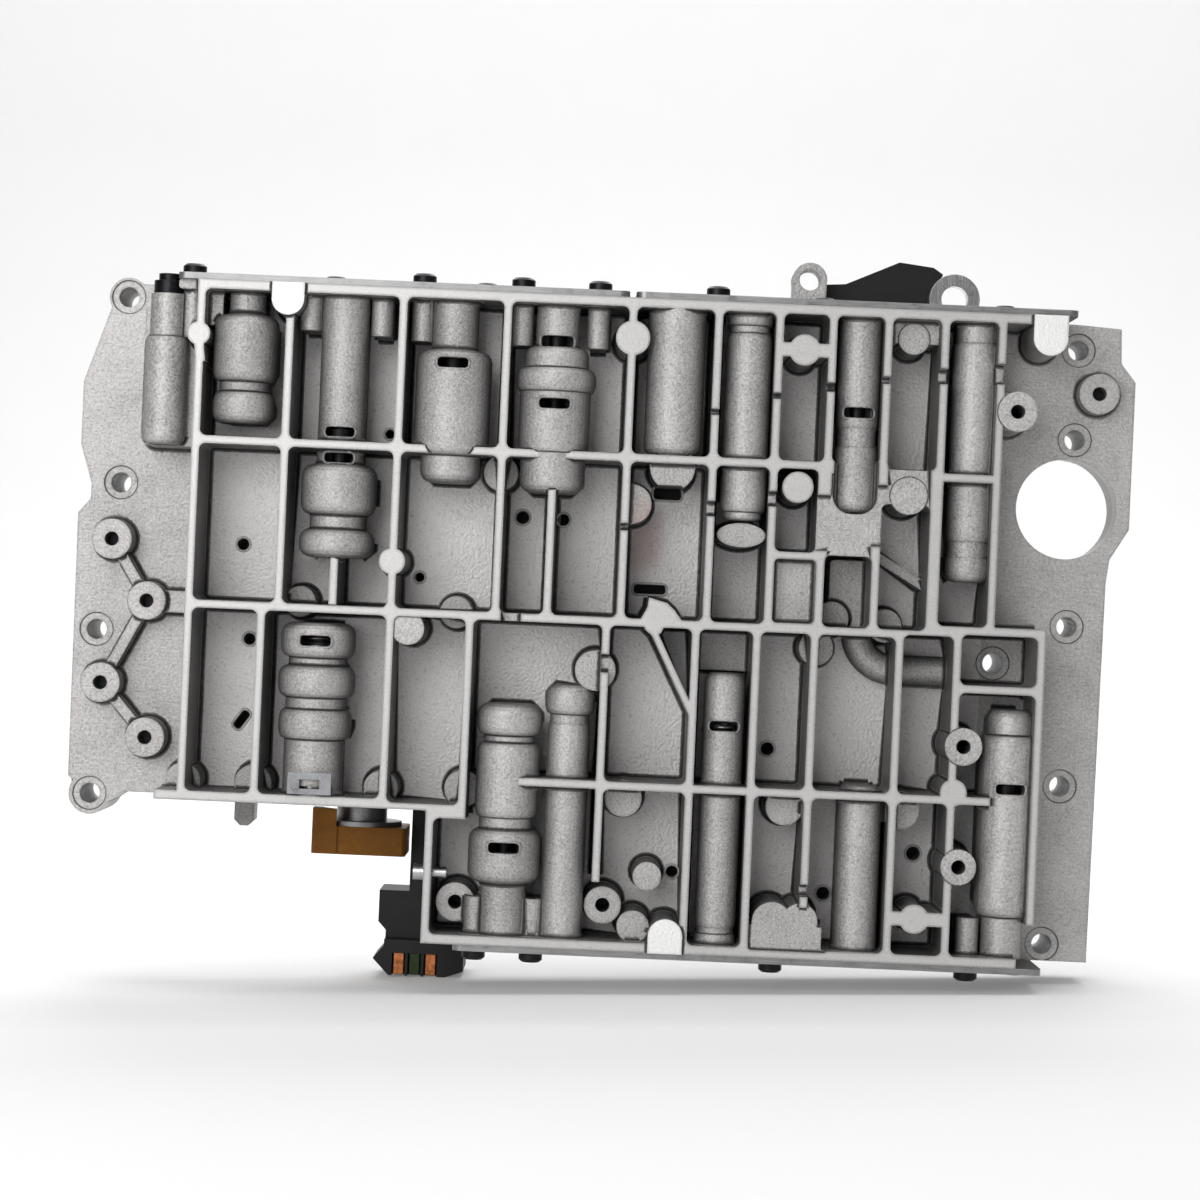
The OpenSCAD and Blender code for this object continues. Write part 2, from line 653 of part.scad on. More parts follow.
// Bores and reliefs of the rear casting
module rear_cuts() {
  slab(rear_y + case_pad_h + 1, plate_t - 1)
    stack_holes();
  slab(selector_y + 6, selector_y - 6)
    translate([65.8, 96.7])
      circle(3.45);
  slab(plate_t + 4.6, plate_t - 1)
    oil_sketch();
  for (s = concat(shift_at, pressure_at))
    slab(rear_y + 1, rear_y - 11)
      translate(s)
        circle(d = nose_d + 0.3);
  for (d = dowels_at)
    slab(plate_t + dowel_l / 2 + 0.2, plate_t - 1)
      translate(d)
        circle(dowel_r + press_gap);
  for (b = balls_at)
    slab(plate_t + 2 * ball_r + 0.3, plate_t - 1)
      translate(b)
        circle(ball_r + 0.25);
  translate([114.4, selector_y, 12])
    cylinder(r = selector_r + spool_gap, h = 80);
  translate([104.4, plate_t - 1, 70])
    cube([20, rear_t + 2, 20]);
  translate([lockup_x, selector_y, step_z - 1])
    cylinder(r = 6.2, h = 25);
  for (b = leaf_bolts_at)
    slab(rear_y + 1, rear_y - 9)
      translate(b)
        circle(3.1);
  slab(rear_y + 1, rear_y - 7)
    for (p = rear_pockets)
      round_rect(p[0], p[1], p[2], p[3], 3);
}

module top_cover_left() {
  side_cover(-139, 6, top_z, top_left_screws);
}

module top_cover_right() {
  side_cover(8, 150, top_z, top_right_screws);
}

module bottom_cover() {
  side_cover(-42, 147, bottom_z - cover_t, bottom_screws);
}

// Flat cover on an edge, from one X to another, with screw holes
module side_cover(x0, x1, z, screws) {
  color([0.2, 0.2, 0.21])
    place()
      translate([0, 0, z])
        linear_extrude(cover_t)
          difference() {
            round_rect(x0, axis_y - 9, x1, -0.4, 3);
            for (s = screws)
              translate(s)
                circle(d = screw_d + 0.5);
          }
}

// Pan head screw with a six point socket, its head above zero and the thread below
module cover_screw() {
  difference() {
    union() {
      cylinder(d = screw_head_d, h = screw_head_h - 0.8);
      translate([0, 0, screw_head_h - 0.8])
        cylinder(d1 = screw_head_d, d2 = screw_head_d - 2, h = 0.8);
      translate([0, 0, -screw_l])
        cylinder(d = screw_d, h = screw_l + 0.5);
    }
    translate([0, 0, screw_head_h - 1.8])
      cylinder(d = screw_head_d * 0.52, h = 3, $fn = 6);
  }
}

module cover_screws() {
  color([0.1, 0.1, 0.1])
    place() {
      for (s = concat(top_left_screws, top_right_screws))
        translate([s[0], s[1], top_z + cover_t])
          cover_screw();
      for (s = bottom_screws)
        translate([s[0], s[1], bottom_z - cover_t])
          rotate([180, 0, 0])
            cover_screw();
    }
}

module body_screws() {
  color([0.3, 0.3, 0.31])
    place()
      for (b = body_screws_at)
        translate([b[0], rear_y, b[1]])
          rotate([-90, 0, 0])
            difference() {
              union() {
                cylinder(d = body_screw_d + 4, h = 4);
                translate([0, 0, -rear_y - flange_t])
                  cylinder(d = body_screw_d, h = rear_y + flange_t + 0.5);
              }
              translate([0, 0, 1.8])
                cylinder(d = body_screw_d, h = 3, $fn = 6);
            }
}

module end_plug() {
  color([0.75, 0.75, 0.74])
    place()
      translate([valves[9][0], axis_y, step_z + 0.2])
        difference() {
          cylinder(r = valves[9][1] - 0.1, h = -75.3 - step_z);
          for (x = [-8, 2.9])
            translate([x, -8, -79.15 - step_z - 0.2])
              cube([5.1, 16, 2.7]);
        }
}

module bore_plug() {
  color([0.1, 0.1, 0.1])
    place()
      translate([valves[0][0], axis_y, 0])
        difference() {
          rotate_extrude()
            polygon([[0, valves[0][2]], [valves[0][1] - 0.1, valves[0][2]], [valves[0][1] - 0.1, 79.8],
              [5, 79.8], [5, 84], [3.6, 84.2], [3.6, 86.3], [0, 86.3]]);
          translate([0, 0, 84.4])
            cylinder(r = 2, h = 3, $fn = 6);
        }
}

module keeper_clip() {
  color([0.85, 0.85, 0.84])
    place()
      difference() {
        union() {
          keeper_slot(0);
          translate([valves[9][0] - 7, clip_y, -79])
            cube([14, 1.4, 7]);
        }
        translate([valves[9][0] - 3.2, clip_y - 1, -77.2])
          cube([6.4, 4, 3]);
        translate([valves[9][0] - 3.2, clip_y + 1.4, -80])
          cube([6.4, rib_h, 5]);
      }
}

module selector_valve() {
  color([0.7, 0.7, 0.72])
    place() {
      translate([114.4, selector_y, 20])
        rotate_extrude()
          polygon([[0, 0], [selector_r, 0], [selector_r, 9], [2.6, 10], [2.6, 20], [selector_r, 21],
            [selector_r, 33], [2.6, 34], [2.6, 44], [selector_r, 45], [selector_r, 58], [3, 59], [3, 66],
            [0, 66]]);
      slab(selector_y + 3, selector_y - 3)
        difference() {
          translate([114.4, 92.5])
            circle(8.4);
          translate([114.4, 92.5])
            circle(4.4);
        }
    }
}

module check_balls() {
  color([0.8, 0.8, 0.82])
    place()
      for (b = balls_at)
        translate([b[0], plate_t + ball_r + 0.1, b[1]])
          sphere(ball_r);
}

module dowel_pins() {
  color([0.6, 0.6, 0.62])
    place()
      for (d = dowels_at)
        slab(plate_t + dowel_l / 2, -dowel_l / 2)
          translate(d)
            circle(dowel_r);
}

// Outline of the conductor plate with the arm to the connector and the guard above the top edge
module conductor_sketch() {
  difference() {
    union() {
      polygon([[-126, 66], [56, 66], [66, 86], [71.4, 96.7], [78.7, 97.2], [96.6, 105.3], [108.1, 104],
        [111.3, 101.9], [104, 62], [108, 40], [108, -82], [-47.5, -82], [-47.5, -120], [-59.4, -120],
        [-59.4, -76], [-126, -76]]);
    }
    for (s = concat(shift_at, pressure_at))
      translate(s)
        circle(d = can_d + 1.4);
    for (w = [[-119, -62, -88, 14], [-62, -58, -32, 14], [-28, -58, 3, 14], [20, -36, 42, 22],
      [46, -36, 66, 22]])
      round_rect(w[0], w[1], w[2], w[3], 4);
  }
}

module conductor_plate() {
  color([0.07, 0.07, 0.07])
    place()
      difference() {
        union() {
          slab(conductor_y, rear_y)
            conductor_sketch();
          slab(conductor_y + 18, rear_y)
            polygon([[-69.4, -113.6], [-69.4, -124.2], [-66.8, -127], [-66.8, -134], [-47.5, -134],
              [-47.5, -113.6]]);
          slab(conductor_y + 14, rear_y - 6)
            polygon([[-66.8, -129.5], [-66.8, -131.6], [-70.4, -136], [-65, -141.5], [-46, -141.5],
              [-40, -139.4], [-40, -129.5]]);
          slab(conductor_y + 5, rear_y)
            for (p = [[-120, 58], [-120, 20], [10, 30], [14, -44], [74, -20], [74, 30]])
              bar(p, p + [26, 0], 5);
          for (s = sensors_at)
            slab(conductor_y + 6, rear_y)
              translate(s)
                circle(9);
        }
        for (x = contacts_x)
          translate([x - 2.2, rear_y - 8, -142])
            cube([4.4, 6, 8]);
        slab(conductor_y + 20, conductor_y + 6)
          translate([-57.8, -123.4])
            circle(socket_r);
        for (s = sensors_at)
          slab(conductor_y + 8, conductor_y)
            translate(s)
              circle(6.2);
        for (b = leaf_bolts_at)
          slab(conductor_y + 8, rear_y - 1)
            translate(b)
              circle(4);
      }
}

module connector_contacts() {
  color([0.72, 0.4, 0.2])
    place()
      for (x = contacts_x)
        translate([x - 1.6, rear_y - 5, -141])
          cube([3.2, 3, 6.9]);
}

// Solenoid standing on the rear casting: nose, flange, can and cap
module solenoid(at) {
  color([0.6, 0.6, 0.6])
    place()
      translate([at[0], rear_y, at[1]])
        rotate([-90, 0, 0])
          rotate_extrude()
            polygon([[0, -10.5], [nose_d / 2 - 1, -10.5], [nose_d / 2, -9.5], [nose_d / 2, 0], [can_d / 2, 0],
              [can_d / 2, conductor_t], [can_r, conductor_t], [can_r, can_h - 6], [can_r - 1.5, can_h - 4.5],
              [can_r - 1.5, can_h - 0.8], [can_r - 2.3, can_h], [0, can_h]]);
}

module shift_solenoid_a() {
  solenoid(shift_at[0]);
}

module shift_solenoid_b() {
  solenoid(shift_at[1]);
}

module shift_solenoid_c() {
  solenoid(shift_at[2]);
}

module pressure_solenoid_a() {
  solenoid(pressure_at[0]);
}

module pressure_solenoid_b() {
  solenoid(pressure_at[1]);
}

module lockup_solenoid() {
  color([0.6, 0.6, 0.6])
    place()
      translate([lockup_x, selector_y, step_z])
        rotate_extrude()
          polygon([[0, -8.7], [13.4, -8.7], [13.4, -7.1], [8.4, -7.1], [8.4, -0.2], [6, -0.2], [6, 22.6],
            [0, 22.6]]);
}

// Outline of the coil seen along Z
module coil_sketch() {
  polygon([[-coil_d / 2, -12], [1 - coil_d / 2, -13], [coil_d / 2 - 1, -13], [coil_d / 2, -12],
    [coil_d / 2, 12], [coil_d / 2 - 1, 13], [1 - coil_d / 2, 13], [-coil_d / 2, 12]]);
}

module lockup_coil() {
  color([0.45, 0.25, 0.08])
    place()
      translate([lockup_x, selector_y, step_z - 18])
        difference() {
          union() {
            linear_extrude(9.3)
              coil_sketch();
            linear_extrude(15)
              difference() {
                intersection() {
                  coil_sketch();
                  translate([-coil_d / 2 - 1, -14])
                    square([9, 9]);
                }
                circle(13.8);
              }
          }
          translate([8.4 - coil_d / 2, -13.5, -1])
            cube([0.6, 1, 17]);
        }
}

module leaf_springs() {
  color([0.5, 0.5, 0.52])
    place()
      for (b = leaf_bolts_at)
        slab(conductor_y + 1.2, conductor_y)
          difference() {
            translate([b[0] - leaf_half, b[1] - 6])
              square([2 * leaf_half, 12]);
            translate(b)
              circle(3.4);
          }
}

module leaf_bolts() {
  color([0.3, 0.3, 0.31])
    place()
      for (b = leaf_bolts_at)
        translate([b[0], conductor_y + 1.2, b[1]])
          rotate([-90, 0, 0])
            union() {
              cylinder(r = 5, h = 5, $fn = 6);
              translate([0, 0, -conductor_t - 9.2])
                cylinder(r = 3, h = conductor_t + 10);
            }
}

module speed_sensor(at) {
  color([0.1, 0.1, 0.1])
    place()
      translate([at[0], conductor_y, at[1]])
        rotate([-90, 0, 0])
          rotate_extrude()
            polygon([[0, 0], [6, 0], [6, 16], [5, 18], [5, 24], [4, 25], [0, 25]]);
}

module speed_sensor_a() {
  speed_sensor(sensors_at[0]);
}

module speed_sensor_b() {
  speed_sensor(sensors_at[1]);
}

module gallery_plug() {
  color([0.1, 0.1, 0.1])
    place()
      translate([step_x, axis_y, -103])
        rotate([0, -90, 0])
          union() {
            cylinder(r = 2.7, h = 3.7);
            translate([0, 0, -7])
              cylinder(r = 2, h = 8);
          }
}

// Puts a valve piece in its bore: zero at the open end, +Z towards the blind end
module in_bore(v) {
  translate([v[0], axis_y, v[2]])
    rotate([v[2] > v[3] ? 180 : 0, 0, 0])
      children();
}

// Lengths of one spool, and the number of its lands
function spool_len(v) = abs(v[2] - v[3]) - spring_l - seat_gap;
function land_count(v) = max(2, round(spool_len(v) / 15));

// Spool with even lands and thin necks
module spool(n) {
  v = valves[n - 1];
  r = v[1] - spool_gap;
  l = spool_len(v);
  c = land_count(v);
  w = 0.5 * l / c;
  pitch = (l - w) / (c - 1);
  color([0.78, 0.78, 0.8])
    place()
      in_bore(v)
        translate([0, 0, seat_gap])
          rotate_extrude()
            polygon(concat([[0, 0]],
              [for (i = [0:c - 1]) each [[i == 0 ? r : 0.6 * r, i * pitch],
                [r, i * pitch + (i == 0 ? 0.01 : 0)], [r, i * pitch + w], [0.6 * r, i * pitch + w]]],
              [[0, l]]));
}

// Helical valve spring as a ring of points swept along the wire
module spring(n) {
  v = valves[n - 1];
  wire_r = wire_d / 2;
  turn_r = v[1] - wire_r - 0.5;
  turns = 5;
  steps = 8;
  sides = 5;
  from = seat_gap + spool_len(v) + wire_r + 0.1;
  rise = spring_l - wire_d - 0.2;
  count = turns * steps;
  points = [for (i = [0:count]) let (a = 360 * i / steps, h = from + rise * i / count)
    for (k = [0:sides - 1]) let (q = turn_r + wire_r * cos(360 * k / sides))
      [q * cos(a), q * sin(a), h + wire_r * sin(360 * k / sides)]];
  walls = [for (i = [0:count - 1]) for (k = [0:sides - 1])
    let (a = i * sides, b = a + sides, m = (k + 1) % sides)
      each [[a + k, a + m, b + m], [a + k, b + m, b + k]]];
  ends = [[for (k = [sides - 1:-1:0]) k], [for (k = [0:sides - 1]) count * sides + k]];
  color([0.6, 0.6, 0.62])
    place()
      in_bore(v)
        polyhedron(points, concat(walls, ends));
}

module spool_01() { spool(1); }
module spool_02() { spool(2); }
module spool_03() { spool(3); }
module spool_04() { spool(4); }
module spool_05() { spool(5); }
module spool_06() { spool(6); }
module spool_07() { spool(7); }
module spool_08() { spool(8); }
module spool_09() { spool(9); }
module spool_10() { spool(10); }
module spool_11() { spool(11); }
module spool_12() { spool(12); }
module spool_13() { spool(13); }
module spool_14() { spool(14); }
module spool_15() { spool(15); }
module spring_01() { spring(1); }
module spring_02() { spring(2); }
module spring_03() { spring(3); }
module spring_04() { spring(4); }
module spring_05() { spring(5); }
module spring_06() { spring(6); }
module spring_07() { spring(7); }
module spring_08() { spring(8); }
module spring_09() { spring(9); }
module spring_10() { spring(10); }
module spring_11() { spring(11); }
module spring_12() { spring(12); }
module spring_13() { spring(13); }
module spring_14() { spring(14); }
module spring_15() { spring(15); }

front_casting();
separator_plate();
rear_casting();
top_cover_left();
top_cover_right();
bottom_cover();
cover_screws();
body_screws();
end_plug();
bore_plug();
keeper_clip();
selector_valve();
check_balls();
dowel_pins();
conductor_plate();
connector_contacts();
lockup_solenoid();
lockup_coil();
shift_solenoid_a();
shift_solenoid_b();
shift_solenoid_c();
pressure_solenoid_a();
pressure_solenoid_b();
leaf_springs();
leaf_bolts();
speed_sensor_a();
speed_sensor_b();
gallery_plug();
spool_01();
spool_02();
spool_03();
spool_04();
spool_05();
spool_06();
spool_07();
spool_08();
spool_09();
spool_10();
spool_11();
spool_12();
spool_13();
spool_14();
spool_15();
spring_01();
spring_02();
spring_03();
spring_04();
spring_05();
spring_06();
spring_07();
spring_08();
spring_09();
spring_10();
spring_11();
spring_12();
spring_13();
spring_14();
spring_15();
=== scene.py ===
import json
import math

import bmesh
import bpy
from mathutils import Matrix, Vector
from mathutils.bvhtree import BVHTree


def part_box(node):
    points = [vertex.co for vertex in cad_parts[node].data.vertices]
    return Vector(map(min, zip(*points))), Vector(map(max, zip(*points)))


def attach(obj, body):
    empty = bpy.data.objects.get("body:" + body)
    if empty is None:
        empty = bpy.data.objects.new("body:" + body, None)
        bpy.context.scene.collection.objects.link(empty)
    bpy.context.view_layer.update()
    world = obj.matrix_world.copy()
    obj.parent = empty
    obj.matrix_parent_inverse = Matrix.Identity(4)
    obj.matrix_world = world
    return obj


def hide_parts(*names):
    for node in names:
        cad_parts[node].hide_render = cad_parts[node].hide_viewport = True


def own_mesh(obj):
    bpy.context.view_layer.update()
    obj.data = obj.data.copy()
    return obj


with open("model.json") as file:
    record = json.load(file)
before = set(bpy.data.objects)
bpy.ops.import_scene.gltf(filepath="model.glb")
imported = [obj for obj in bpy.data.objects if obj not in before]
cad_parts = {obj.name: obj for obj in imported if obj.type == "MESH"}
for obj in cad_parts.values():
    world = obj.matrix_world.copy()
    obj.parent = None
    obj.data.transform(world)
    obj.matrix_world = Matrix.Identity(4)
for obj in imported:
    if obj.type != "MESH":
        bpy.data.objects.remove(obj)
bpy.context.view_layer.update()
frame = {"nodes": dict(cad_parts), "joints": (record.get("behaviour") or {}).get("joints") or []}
nodes = frame["nodes"]
scene = bpy.context.scene
mm = 0.001


class Field:  # one value of a shader, used in plain sums
    def __init__(self, finish, socket):
        self.finish, self.socket = finish, socket

    def maths(self, operation, *values):
        return self.finish.node("ShaderNodeMath", {"operation": operation}, dict(enumerate(values)))

    def __add__(self, other): return self.maths("ADD", self, other)
    def __radd__(self, other): return self.maths("ADD", other, self)
    def __sub__(self, other): return self.maths("SUBTRACT", self, other)
    def __rsub__(self, other): return self.maths("SUBTRACT", other, self)
    def __mul__(self, other): return self.maths("MULTIPLY", self, other)
    def __rmul__(self, other): return self.maths("MULTIPLY", other, self)
    def __truediv__(self, other): return self.maths("DIVIDE", self, other)
    def __rtruediv__(self, other): return self.maths("DIVIDE", other, self)
    def __lt__(self, other): return self.maths("LESS_THAN", self, other)
    def __gt__(self, other): return self.maths("GREATER_THAN", self, other)
    def __abs__(self): return self.maths("ABSOLUTE", self)


class Finish:  # one material and its nodes
    def __init__(self, name):
        self.material = bpy.data.materials.new(name)
        self.material.use_nodes = True
        self.tree = self.material.node_tree
        self.tree.nodes.clear()
        self.at = self.node("ShaderNodeTexCoord", out="Object")
        parts = [self.node("ShaderNodeSeparateXYZ", None, {0: self.at}, out=k) for k in "XYZ"]
        self.x, self.y, self.z = parts

    def node(self, kind, settings=None, sockets=None, out=0):
        made = self.tree.nodes.new(kind)
        for key, value in (settings or {}).items():
            setattr(made, key, value)
        for key, value in (sockets or {}).items():
            if isinstance(value, Field):
                self.tree.links.new(value.socket, made.inputs[key])
            else:
                made.inputs[key].default_value = value
        return Field(self, made.outputs[out])

    def noise(self, size, detail=3, rough=0.55, at=None):  # grain of about that size in millimetres
        sockets = {"Vector": at or self.at, "Scale": 1 / (size * mm), "Detail": detail, "Roughness": rough}
        return self.node("ShaderNodeTexNoise", None, sockets)

    def stretched(self, sx, sy, sz):  # coordinates drawn out along an axis, for brush and turning marks
        return self.node("ShaderNodeVectorMath", {"operation": "MULTIPLY"}, {0: self.at, 1: (sx, sy, sz)})

    def span(self, value, low, high, start=0.0, end=1.0):  # low to high becomes start to end
        sockets = {"Value": value, "From Min": low, "From Max": high, "To Min": start, "To Max": end}
        return self.node("ShaderNodeMapRange", None, sockets)

    def spread(self, noise, start=0.0, end=1.0):  # the middle range of a noise becomes start to end
        return self.span(noise, 0.3, 0.7, start, end)

    def mix(self, share, first, second):
        sockets = {0: share}
        for key, tone in ((6, first), (7, second)):
            sockets[key] = tone if isinstance(tone, Field) else (*tone, 1)
        return self.node("ShaderNodeMix", {"data_type": "RGBA"}, sockets, out=2)

    def facing(self, axis):  # which way the bare face looks
        normal = self.node("ShaderNodeNewGeometry", out="True Normal")
        return self.node("ShaderNodeSeparateXYZ", None, {0: normal}, out=axis)

    def kept(self, name):  # value kept on the mesh of a made piece
        return self.node("ShaderNodeAttribute", {"attribute_name": name}, out="Fac")

    def rounded(self, radius):  # normal of the face with its edges rounded off
        return self.node("ShaderNodeBevel", {"samples": 2}, {"Radius": radius * mm})

    def edge(self, rounded):  # how near an edge is, from how far the rounded normal leans over
        bare = self.node("ShaderNodeNewGeometry", out="True Normal")
        lean = self.node("ShaderNodeVectorMath", {"operation": "DOT_PRODUCT"}, {0: rounded, 1: bare}, out="Value")
        return self.span(lean, 0.997, 0.92)

    def relief(self, height, depth, strength, rounded):
        sockets = {"Height": height, "Distance": depth * mm, "Strength": strength, "Normal": rounded}
        return self.node("ShaderNodeBump", None, sockets)

    def done(self, **sockets):
        named = {key.replace("_", " "): value for key, value in sockets.items()}
        shader = self.node("ShaderNodeBsdfPrincipled", None, named)
        out = self.tree.nodes.new("ShaderNodeOutputMaterial")
        self.tree.links.new(shader.socket, out.inputs[0])
        return self.material


# sizes and levels in millimetres, levels along Y
castLook = {
    "dark": (0.262, 0.250, 0.244), "pale": (0.640, 0.628, 0.620), "shadeTone": (0.030, 0.029, 0.028),
    "grain": 1.0, "speck": 0.5, "blotch": 22, "pit": 1.1, "edge": 1.2,
    "ofBlotch": 0.3, "ofGrain": 0.35, "ofSpeck": 0.35, "ofPit": 0.22,  # shares of each in the tone
    "rough": (0.40, 0.56), "metal": 0.35, "depth": 0.34, "strength": 0.9,
    "floor": -8, "rim": -36, "wallShade": 0.82, "oily": 0.08,
}
flangeLook = {
    "left": -284.6, "right": -26.0, "brush": 0.5, "draw": (0.12, 1, 1), "ofBrush": 0.25, "ofTone": 0.6, "lift": 0.13,
    "coarse": 0.9, "fine": 0.45, "smudge": 9, "ofSmudge": 0.2, "plain": 0.75, "flat": 0.3, "smooth": 0.05,
    "floorLight": (0.880, 0.856, 0.846), "floorLightFrom": -14, "floorLightTo": -9, "ofFloorLight": 0.55, "wallShadeLess": 0.3, "edgeShadeLess": 0.6,
}
stainLook = {"x": -138.0, "z": -15.5, "wide": 8, "high": 13, "uneven": 1.5, "share": 0.4, "rust": (0.330, 0.170, 0.130)}
milledLook = {
    "rib": -36, "pad": -37, "slack": 0.06, "milled": (0.510, 0.502, 0.495), "white": (0.950, 0.950, 0.940),
    "cutter": 0.35, "draw": (0.05, 1, 1), "ofCutter": 0.35, "ofSpeck": 0.45, "ofPit": 0.5, "line": 0.9,
    "rough": (0.30, 0.44), "flat": 0.75, "ofWhite": 0.9,
}
holeShadeLook = {"from": 2, "to": 8, "top": 58, "lugZ": -104, "lugX": -210, "lugLess": 0.55, "black": 0.95}


def castAluminium(name, look, flange=None, stain=None, milled=None, holeShade=None, roots=False):
    f = Finish(name)
    soft = f.rounded(look["edge"])
    faceY = f.facing("Y")
    grain = f.noise(look["grain"], 2, 0.6)
    speck = f.noise(look["speck"], 1, 0.6)
    blotch = f.noise(look["blotch"], 2)
    pits = f.span(f.noise(look["pit"], 2, 0.65), 0.56, 0.68)  # small dark pits of the sand skin
    tone = f.spread(blotch) * look["ofBlotch"] + f.spread(grain) * look["ofGrain"]
    tone = tone + f.span(speck, 0.35, 0.65) * look["ofSpeck"] - pits * look["ofPit"]
    colour = f.mix(tone, look["dark"], look["pale"])
    rough = f.spread(grain, *look["rough"])
    height = grain
    if flange:  # the flanges outside the ribbed field are smoother and paler
        left = f.x < flange["left"] * mm
        outside = left + (f.x > flange["right"] * mm)
        brush = f.noise(flange["brush"], 2, 0.6, f.stretched(*flange["draw"]))
        coarse = left * flange["coarse"] + flange["fine"]  # the left flange has the coarser skin
        smudge = f.span(f.noise(flange["smudge"], 2, 0.6), 0.5, 0.72)  # handling marks
        even = f.span(brush, 0.35, 0.65) * flange["ofBrush"] + tone * flange["ofTone"]
        even = even + (grain - 0.5) * coarse + flange["lift"] - smudge * flange["ofSmudge"]
        colour = f.mix(outside * flange["plain"], colour, f.mix(even, look["dark"], look["pale"]))
        height = height - outside * height * flange["flat"]
        rough = rough - outside * flange["smooth"]
        # painted light: the pocket floors between the ribs are painted paler
        floorLightShare = (1 - outside) * f.span(f.y, flange["floorLightFrom"] * mm, flange["floorLightTo"] * mm) * (faceY < -0.9)
        colour = f.mix(floorLightShare * (flange["ofFloorLight"] - pits * 0.2), colour, flange["floorLight"])
    if stain:
        dx = (f.x - stain["x"] * mm) / (stain["wide"] * mm)
        dz = (f.z - stain["z"] * mm) / (stain["high"] * mm)
        near = f.span(dx * dx + dz * dz + (blotch - 0.5) * stain["uneven"], 1.0, 0.1)
        colour = f.mix(near * stain["share"], colour, stain["rust"])
    steep = f.span(abs(faceY), 0.95, 0.35)  # painted shade on the walls and the sides of the barrels, which are also a little rougher
    # the painted shade grows darker deeper down, from the rib tops towards the floor
    deep = f.span(f.y, look["rim"] * mm, look["floor"] * mm, 0.8, 1.0)
    shadeShare = steep * deep * look["wallShade"]
    if flange:  # less painted shade on the outer walls and the flange edges
        flangeEdge = f.y > (look["floor"] - 0.05) * mm
        shadeShare = shadeShare * (1 - outside * flange["wallShadeLess"]) * (1 - flangeEdge * flange["edgeShadeLess"])
    if holeShade:  # painted shade: the blind ends of the oil holes are painted black, the low lug only part dark, the higher lugs not at all
        lowLug = (f.z < holeShade["lugZ"] * mm) * (f.x < holeShade["lugX"] * mm)
        within = (f.z < holeShade["top"] * mm) - lowLug * holeShade["lugLess"]
        level = (f.y > holeShade["from"] * mm) * (f.y < holeShade["to"] * mm)
        shadeShare = shadeShare + within * (faceY < -0.9) * level * holeShade["black"]
    if roots:  # painted shade: strips in the inner corners, darkest in their middle
        shadeShare = f.span(f.kept("corner_shade") + (grain - 0.5) * 0.5, 0.15, 0.75) * 0.9
    # painted shade: the colour goes towards near black where the shade share is high
    colour = f.mix(shadeShare, colour, look["shadeTone"])
    rough = rough + shadeShare * look["oily"]
    if milled:  # flat tops of the ribs, and the pads that stand a little higher
        front = faceY < -0.9999
        top = front * (abs(f.y - milled["rib"] * mm) < milled["slack"] * mm)
        pad = front * (abs(f.y - milled["pad"] * mm) < milled["slack"] * mm)
        cutter = f.noise(milled["cutter"], 2, 0.6, f.stretched(*milled["draw"]))
        worn = f.spread(cutter, 0.0, milled["ofCutter"]) + f.span(speck, 0.42, 0.62) * milled["ofSpeck"]
        bright = f.mix(worn - pits * milled["ofPit"], milled["milled"], look["pale"])
        bright = f.mix(f.edge(soft) * milled["line"], bright, look["shadeTone"])  # painted shade: dark line along the rounded edges of each rib
        colour = f.mix(top, colour, bright)
        colour = f.mix(pad * milled["ofWhite"], colour, milled["white"])
        rough = rough - top * (rough - f.spread(cutter, *milled["rough"]))
        height = height - top * height * milled["flat"]
    bump = f.relief(height, look["depth"], look["strength"], soft)
    return f.done(Base_Color=colour, Metallic=look["metal"], Roughness=rough, Normal=bump)


# draw is how the marks of drawing or turning run
steelLooks = {
    "plateSteel": {"dark": (0.150, 0.150, 0.152), "pale": (0.270, 0.270, 0.272),
                   "rough": (0.30, 0.45), "draw": (0.06, 1, 1)},
    "coverSteel": {"dark": (0.200, 0.200, 0.200), "pale": (0.380, 0.380, 0.378),
                   "rough": (0.32, 0.50), "draw": (0.05, 1, 1)},
    "blackSteel": {"dark": (0.010, 0.010, 0.011), "pale": (0.040, 0.040, 0.043),
                   "rough": (0.30, 0.48), "draw": (1, 1, 1)},
    "spoolSteel": {"dark": (0.010, 0.010, 0.010), "pale": (0.034, 0.034, 0.035),
                   "rough": (0.40, 0.52), "draw": (1, 1, 0.1)},
    "brightSteel": {"dark": (0.420, 0.422, 0.430), "pale": (0.640, 0.640, 0.645),
                    "rough": (0.18, 0.32), "draw": (1, 1, 0.08)},
    "springSteel": {"dark": (0.160, 0.160, 0.168), "pale": (0.330, 0.332, 0.340),
                    "rough": (0.26, 0.40), "draw": (1, 1, 1)},
    "canSteel": {"dark": (0.380, 0.384, 0.392), "pale": (0.560, 0.562, 0.570),
                 "rough": (0.22, 0.38), "draw": (1, 0.1, 1)},
}
steelSkin = {"mark": 0.4, "cloud": 9, "smear": 3.5, "ofMark": 0.6, "ofCloud": 0.4, "ofSmear": 0.35, "oil": 0.35,
             "wet": 0.06, "depth": 0.03, "strength": 0.35, "edge": 0.3}


def steel(name, look, skin):
    f = Finish(name)
    drawn = f.noise(skin["mark"], 3, 0.6, f.stretched(*look["draw"]))
    cloud = f.noise(skin["cloud"])
    smear = f.span(f.noise(skin["smear"]), 0.56, 0.72)  # thin patches of oil
    tone = f.spread(drawn) * skin["ofMark"] + f.spread(cloud) * skin["ofCloud"]
    colour = f.mix(tone, look["dark"], look["pale"])
    colour = f.mix(smear * skin["ofSmear"], colour, tuple(skin["oil"] * c for c in look["dark"]))
    rough = f.spread(drawn, *look["rough"]) - smear * skin["wet"]
    bump = f.relief(drawn, skin["depth"], skin["strength"], f.rounded(skin["edge"]))
    return f.done(Base_Color=colour, Metallic=1.0, Roughness=rough, Normal=bump)


